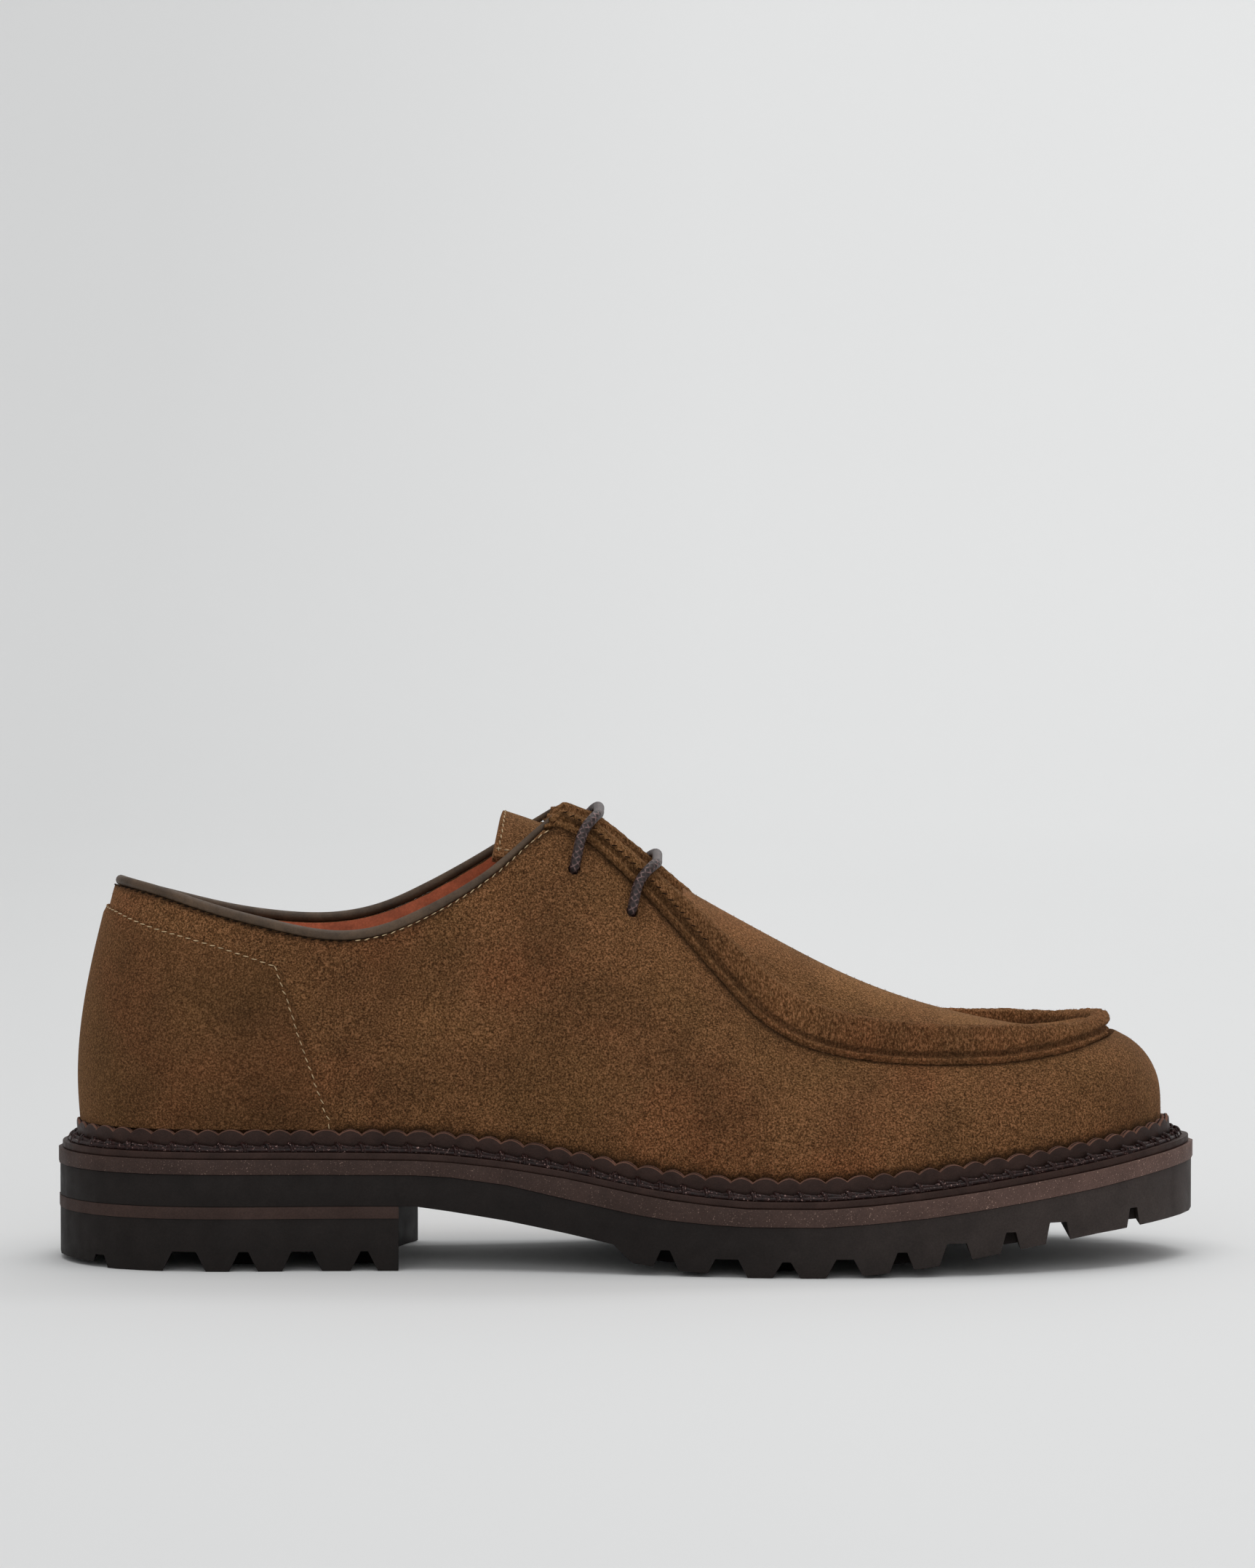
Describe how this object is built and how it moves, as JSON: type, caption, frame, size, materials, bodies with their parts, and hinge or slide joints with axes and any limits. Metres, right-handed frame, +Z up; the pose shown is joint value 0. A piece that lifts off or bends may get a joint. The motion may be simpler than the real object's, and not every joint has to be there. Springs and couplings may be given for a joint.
{
  "type": "derby shoe",
  "caption": "Suede derby shoe for a right foot, with a raised apron seam, stitched storm welt, collar piping, round laces and a lugged rubber sole on a stacked heel",
  "frame": {"origin": "bottom centre of the bounding box, on the floor that the shoe stands on", "axes": "+X from heel to toe, +Y from the lateral to the medial side, +Z up"},
  "size_m": [0.3094, 0.1061, 0.124],
  "materials": {
    "outsole": "matt black-brown rubber",
    "midsole": "matt red-brown rubber with fine flecks",
    "welt": "smooth dark brown leather",
    "insole": "smooth tan leather",
    "upper": "brown suede",
    "collar_binding": "smooth brown leather",
    "lace": "round waxed cotton"
  },
  "bodies": {
    "root": {"outsole": "outsole", "midsole": "midsole", "heel_lift": "midsole", "heel_block": "outsole", "welt": "welt", "insole": "insole", "upper": "upper", "apron": "upper", "apron_seam": "upper", "counter": "upper", "collar_binding": "collar_binding", "tongue": "upper", "lace_upper": "lace", "lace_lower": "lace"}
  },
  "joints": []
}
